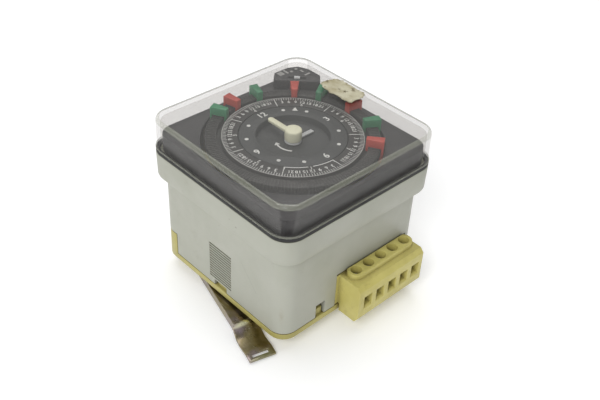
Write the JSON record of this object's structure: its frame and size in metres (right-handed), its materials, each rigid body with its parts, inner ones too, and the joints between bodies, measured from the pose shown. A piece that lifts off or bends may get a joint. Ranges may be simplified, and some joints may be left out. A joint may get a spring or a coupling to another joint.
{
  "type": "programmable timer",
  "caption": "Panel-mount programmable time switch: square case, clear lift-off cover, weekly dial with coloured riders, clock hands, screw terminals and a rear clamping strap.",
  "frame": {"origin": "on the clock shaft's axis, at the underside of the front flange, which lies on the panel", "axes": "+Z out of the dial along the clock shaft, +Y towards twelve o'clock, +X towards three o'clock"},
  "size_m": [0.0799, 0.0787, 0.0648],
  "materials": {
    "housing_grey": "light warm grey moulded plastic, slightly rough",
    "yellow_plastic": "yellowed cream moulded plastic",
    "clear_plastic": "clear polished plastic",
    "gasket_black": "black, matt",
    "plate_grey": "dark grey, satin, printed marks",
    "disc_black": "near-black, satin, finely ribbed edge",
    "ivory": "ivory, satin",
    "hand_white": "white, satin",
    "rider_red": "red, satin",
    "rider_green": "green, satin",
    "black_plastic": "black moulded plastic",
    "steel": "plated steel",
    "brass": "brass",
    "zinc_yellow": "yellow-chromated spring steel, worn",
    "wire_red": "insulated lead",
    "gear_white": "natural white moulded plastic"
  },
  "bodies": {
    "case": {"housing_shell": "housing_grey", "base": "yellow_plastic", "cover_gasket": "gasket_black", "front_plate": "plate_grey", "dial_face": "plate_grey", "override_block": "plate_grey", "terminal_block": "yellow_plastic", "movement_front_plate": "brass", "movement_back_plate": "brass", "dial_bridge": "brass", "motor_can": "steel", "switch_body": "black_plastic", "trip_pin": "steel", "strap_rivet": "steel", "contact_bar_1": "brass", "contact_bar_2": "brass", "contact_bar_3": "brass", "contact_bar_4": "brass", "contact_bar_5": "brass", "lead_wire_1": "wire_red", "lead_wire_2": "wire_red", "lead_wire_3": "wire_red", "lead_wire_4": "wire_red", "lead_wire_5": "wire_red"},
    "cover": {"clear_cover": "clear_plastic"},
    "minute_drive": {"minute_arbor": "steel", "minute_hand": "ivory", "minute_wheel": "gear_white", "clutch_spring": "steel"},
    "rotor": {"motor_pinion": "brass"},
    "intermediate": {"intermediate_gear": "gear_white"},
    "hour_drive": {"hour_wheel": "gear_white", "hour_hand": "hand_white"},
    "idler": {"week_idler": "gear_white"},
    "disc": {"program_disc": "disc_black"},
    "slider": {"override_slider": "hand_white"},
    "lever": {"trip_lever": "ivory"},
    "plunger": {"switch_plunger": "rider_red"},
    "strap": {"mounting_strap": "zinc_yellow"},
    "rider_1": {"rider_1_green": "rider_green"},
    "rider_2": {"rider_2_red": "rider_red"},
    "rider_3": {"rider_3_green": "rider_green"},
    "rider_4": {"rider_4_red": "rider_red"},
    "rider_5": {"rider_5_green": "rider_green"},
    "rider_6": {"rider_6_red": "rider_red"},
    "rider_7": {"rider_7_green": "rider_green"},
    "rider_8": {"rider_8_red": "rider_red"},
    "screw_1": {"terminal_screw_1": "steel"},
    "cage_1": {"terminal_cage_1": "steel"},
    "screw_2": {"terminal_screw_2": "steel"},
    "cage_2": {"terminal_cage_2": "steel"},
    "screw_3": {"terminal_screw_3": "steel"},
    "cage_3": {"terminal_cage_3": "steel"},
    "screw_4": {"terminal_screw_4": "steel"},
    "cage_4": {"terminal_cage_4": "steel"},
    "screw_5": {"terminal_screw_5": "steel"},
    "cage_5": {"terminal_cage_5": "steel"}
  },
  "joints": [
    {"name": "cover_lift", "type": "slide", "parent": "case", "child": "cover", "axis": [0, 0, 1], "range_m": [0, 0.03]},
    {"name": "minute_turn", "type": "hinge", "parent": "case", "child": "minute_drive", "pos_m": [0, 0, 0.019], "axis": [0, 0, -1], "continuous": true},
    {"name": "rotor_turn", "type": "hinge", "parent": "case", "child": "rotor", "pos_m": [-0.013, 0, 0.001], "axis": [0, 0, -1], "continuous": true},
    {"name": "intermediate_turn", "type": "hinge", "parent": "case", "child": "intermediate", "pos_m": [-0.00831, -0.0048, 0.008], "axis": [0, 0, -1], "continuous": true},
    {"name": "hour_turn", "type": "hinge", "parent": "case", "child": "hour_drive", "pos_m": [0, 0, 0.012], "axis": [0, 0, -1], "continuous": true},
    {"name": "idler_turn", "type": "hinge", "parent": "case", "child": "idler", "pos_m": [0.01039, 0.006, 0.01], "axis": [0, 0, -1], "continuous": true},
    {"name": "disc_turn", "type": "hinge", "parent": "case", "child": "disc", "pos_m": [0, 0, 0.016], "axis": [0, 0, -1], "continuous": true},
    {"name": "override_slide", "type": "slide", "parent": "case", "child": "slider", "axis": [0.7071, -0.7071, 0], "range_m": [-0.002, 0.002]},
    {"name": "lever_trip", "type": "hinge", "parent": "case", "child": "lever", "pos_m": [0.01831, 0.02963, 0.0139], "axis": [0, 0, 1], "range_deg": [0, 5]},
    {"name": "plunger_press", "type": "slide", "parent": "case", "child": "plunger", "axis": [0.7071, 0.7071, 0], "range_m": [0, 0.0007]},
    {"name": "strap_swing", "type": "hinge", "parent": "case", "child": "strap", "pos_m": [-0.025, 0.021, -0.0375], "axis": [0, 0, 1], "range_deg": [-75, 15]},
    {"name": "rider_1_shift", "type": "hinge", "parent": "disc", "child": "rider_1", "pos_m": [0, 0, 0.019], "axis": [0, 0, -1], "range_deg": [-4.3, 4.3]},
    {"name": "rider_2_shift", "type": "hinge", "parent": "disc", "child": "rider_2", "pos_m": [0, 0, 0.019], "axis": [0, 0, -1], "range_deg": [-4.3, 4.3]},
    {"name": "rider_3_shift", "type": "hinge", "parent": "disc", "child": "rider_3", "pos_m": [0, 0, 0.019], "axis": [0, 0, -1], "range_deg": [-4.3, 4.3]},
    {"name": "rider_4_shift", "type": "hinge", "parent": "disc", "child": "rider_4", "pos_m": [0, 0, 0.019], "axis": [0, 0, -1], "range_deg": [-4.3, 4.3]},
    {"name": "rider_5_shift", "type": "hinge", "parent": "disc", "child": "rider_5", "pos_m": [0, 0, 0.019], "axis": [0, 0, -1], "range_deg": [-4.3, 4.3]},
    {"name": "rider_6_shift", "type": "hinge", "parent": "disc", "child": "rider_6", "pos_m": [0, 0, 0.019], "axis": [0, 0, -1], "range_deg": [-4.3, 4.3]},
    {"name": "rider_7_shift", "type": "hinge", "parent": "disc", "child": "rider_7", "pos_m": [0, 0, 0.019], "axis": [0, 0, -1], "range_deg": [-4.3, 4.3]},
    {"name": "rider_8_shift", "type": "hinge", "parent": "disc", "child": "rider_8", "pos_m": [0, 0, 0.019], "axis": [0, 0, -1], "range_deg": [-4.3, 4.3]},
    {"name": "cage_1_rise", "type": "slide", "parent": "case", "child": "cage_1", "axis": [0, 0, 1], "range_m": [0, 0.0015]},
    {"name": "screw_1_turn", "type": "hinge", "parent": "case", "child": "screw_1", "pos_m": [-0.0014, -0.0358, -0.0247], "axis": [0, 0, -1], "range_deg": [0, 901]},
    {"name": "cage_2_rise", "type": "slide", "parent": "case", "child": "cage_2", "axis": [0, 0, 1], "range_m": [0, 0.0015]},
    {"name": "screw_2_turn", "type": "hinge", "parent": "case", "child": "screw_2", "pos_m": [0.0048, -0.0358, -0.0247], "axis": [0, 0, -1], "range_deg": [0, 901]},
    {"name": "cage_3_rise", "type": "slide", "parent": "case", "child": "cage_3", "axis": [0, 0, 1], "range_m": [0, 0.0015]},
    {"name": "screw_3_turn", "type": "hinge", "parent": "case", "child": "screw_3", "pos_m": [0.011, -0.0358, -0.0247], "axis": [0, 0, -1], "range_deg": [0, 901]},
    {"name": "cage_4_rise", "type": "slide", "parent": "case", "child": "cage_4", "axis": [0, 0, 1], "range_m": [0, 0.0015]},
    {"name": "screw_4_turn", "type": "hinge", "parent": "case", "child": "screw_4", "pos_m": [0.0172, -0.0358, -0.0247], "axis": [0, 0, -1], "range_deg": [0, 901]},
    {"name": "cage_5_rise", "type": "slide", "parent": "case", "child": "cage_5", "axis": [0, 0, 1], "range_m": [0, 0.0015]},
    {"name": "screw_5_turn", "type": "hinge", "parent": "case", "child": "screw_5", "pos_m": [0.0234, -0.0358, -0.0247], "axis": [0, 0, -1], "range_deg": [0, 901]}
  ],
  "couplings": [
    {"joint": "rotor_turn", "follows": "minute_turn", "ratio": -4.2},
    {"joint": "intermediate_turn", "follows": "minute_turn", "ratio": -0.33333},
    {"joint": "hour_turn", "follows": "minute_turn", "ratio": 0.083333},
    {"joint": "idler_turn", "follows": "minute_turn", "ratio": -0.02381},
    {"joint": "disc_turn", "follows": "minute_turn", "ratio": 0.0059524},
    {"joint": "plunger_press", "follows": "lever_trip", "m_per_rad": 0.008},
    {"joint": "screw_1_turn", "follows": "cage_1_rise", "rad_per_m": 10472},
    {"joint": "screw_2_turn", "follows": "cage_2_rise", "rad_per_m": 10472},
    {"joint": "screw_3_turn", "follows": "cage_3_rise", "rad_per_m": 10472},
    {"joint": "screw_4_turn", "follows": "cage_4_rise", "rad_per_m": 10472},
    {"joint": "screw_5_turn", "follows": "cage_5_rise", "rad_per_m": 10472}
  ]
}
